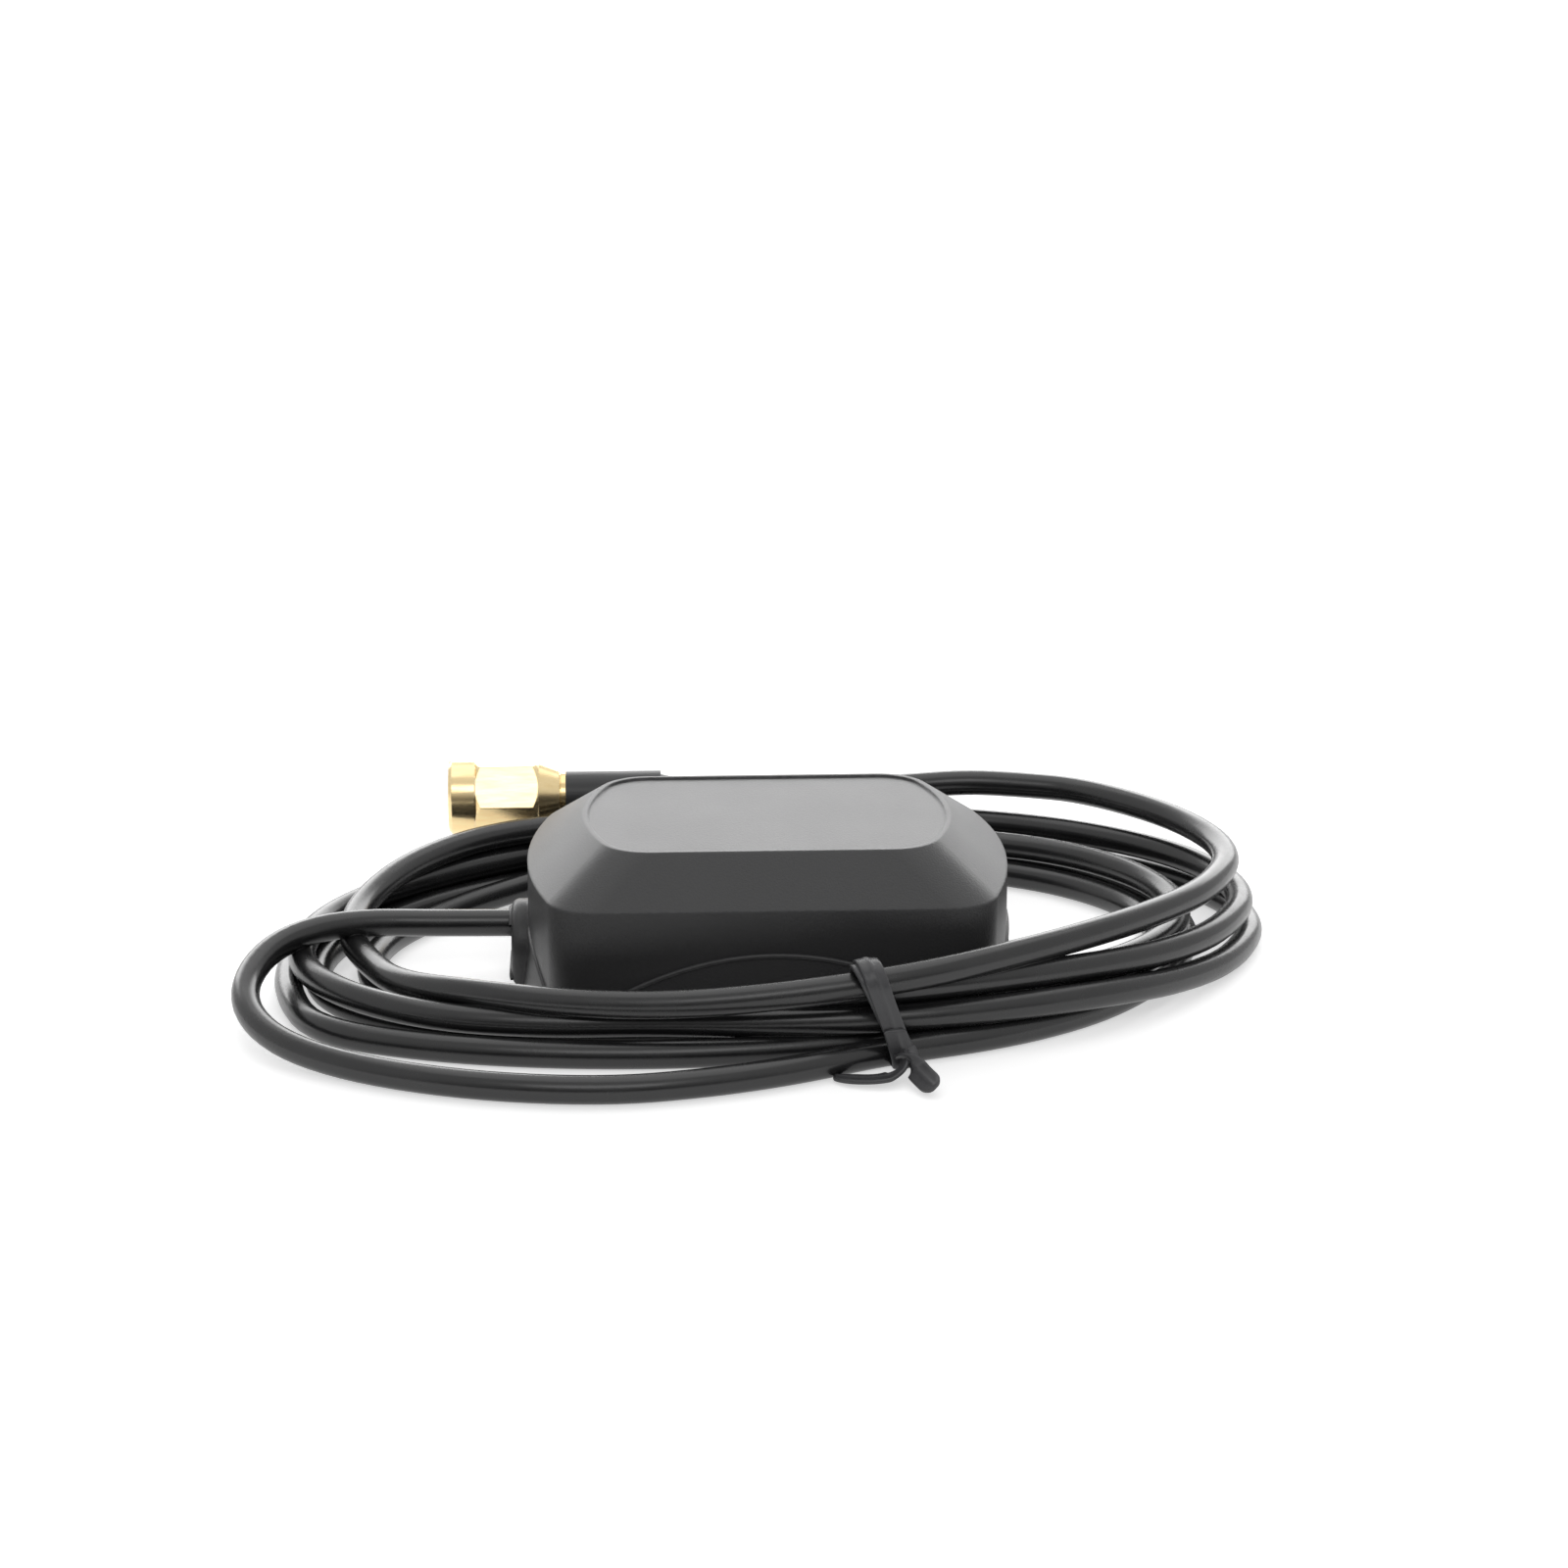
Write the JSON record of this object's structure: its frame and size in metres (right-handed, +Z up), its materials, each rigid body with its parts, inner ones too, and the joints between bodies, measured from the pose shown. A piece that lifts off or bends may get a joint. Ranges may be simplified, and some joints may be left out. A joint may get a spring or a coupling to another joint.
{
  "type": "gps antenna",
  "caption": "Low rectangular magnetic patch antenna in a dark housing with a sloped roof, with a tied coil of coaxial cable and a screw-on coaxial plug.",
  "frame": {"origin": "middle of the housing's underside, on the surface it stands on", "axes": "+Z up through the roof; the cable leaves the housing towards -X; the cable's tie is on the -Y side and the plug on the +Y side"},
  "size_m": [0.1061, 0.0769, 0.017],
  "materials": {
    "base_plastic": "matte",
    "black_chip": "matte",
    "board_laminate": "satin",
    "cable_jacket": "satin",
    "ceramic": "satin",
    "chip_ceramic": "matte",
    "copper_wire": "satin",
    "cover_plastic": "fine texture",
    "filter_lid": "satin",
    "fired_silver": "satin",
    "foam": "matte",
    "gold_plate": "polished",
    "heat_shrink": "satin",
    "magnet_nickel": "satin",
    "nut_gold": "polished",
    "pad_rubber": "matte",
    "plated_steel": "satin",
    "plug_insulator": "satin",
    "seal_rubber": "matte",
    "silicone_seal": "matte",
    "solder": "satin",
    "spring_wire": "satin",
    "tie_plastic": "satin",
    "tin_sheet": "satin",
    "tinned_braid": "satin",
    "tinned_pin": "satin",
    "white_dielectric": "satin",
    "white_tape": "matte"
  },
  "bodies": {
    "antenna": {"adhesive_pad": "white_tape", "amplifier_chip": "black_chip", "base_gasket": "seal_rubber", "base_plate": "base_plastic", "base_screws": "plated_steel", "bottom_pad": "pad_rubber", "cable_braid": "tinned_braid", "cable_coil": "cable_jacket", "cable_conductor": "copper_wire", "cable_dielectric": "white_dielectric", "cable_lead": "cable_jacket", "cable_seal": "seal_rubber", "cable_tail": "cable_jacket", "centre_pin": "gold_plate", "ceramic_patch": "ceramic", "chip_components": "chip_ceramic", "circuit_board": "board_laminate", "crimp_ferrule": "gold_plate", "feed_pin": "tinned_pin", "filter_chip": "filter_lid", "foam_pad": "foam", "ground_clip": "tin_sheet", "heat_shrink_long": "heat_shrink", "heat_shrink_short": "heat_shrink", "magnet_left": "magnet_nickel", "magnet_right": "magnet_nickel", "patch_electrode": "fired_silver", "plug_body": "gold_plate", "plug_cable_core": "white_dielectric", "plug_gasket": "silicone_seal", "plug_insulator": "plug_insulator", "retaining_ring": "spring_wire", "shield_can": "tin_sheet", "solder_joint": "solder", "top_cover": "cover_plastic", "twist_tie": "tie_plastic"},
    "coupling_nut": {"coupling_nut": "nut_gold"}
  },
  "joints": [
    {"name": "coupling_nut_turn", "type": "hinge", "parent": "antenna", "child": "coupling_nut", "pos_m": [-0.0334, 0.0346, 0.0085], "axis": [1, 0, 0], "continuous": true}
  ]
}
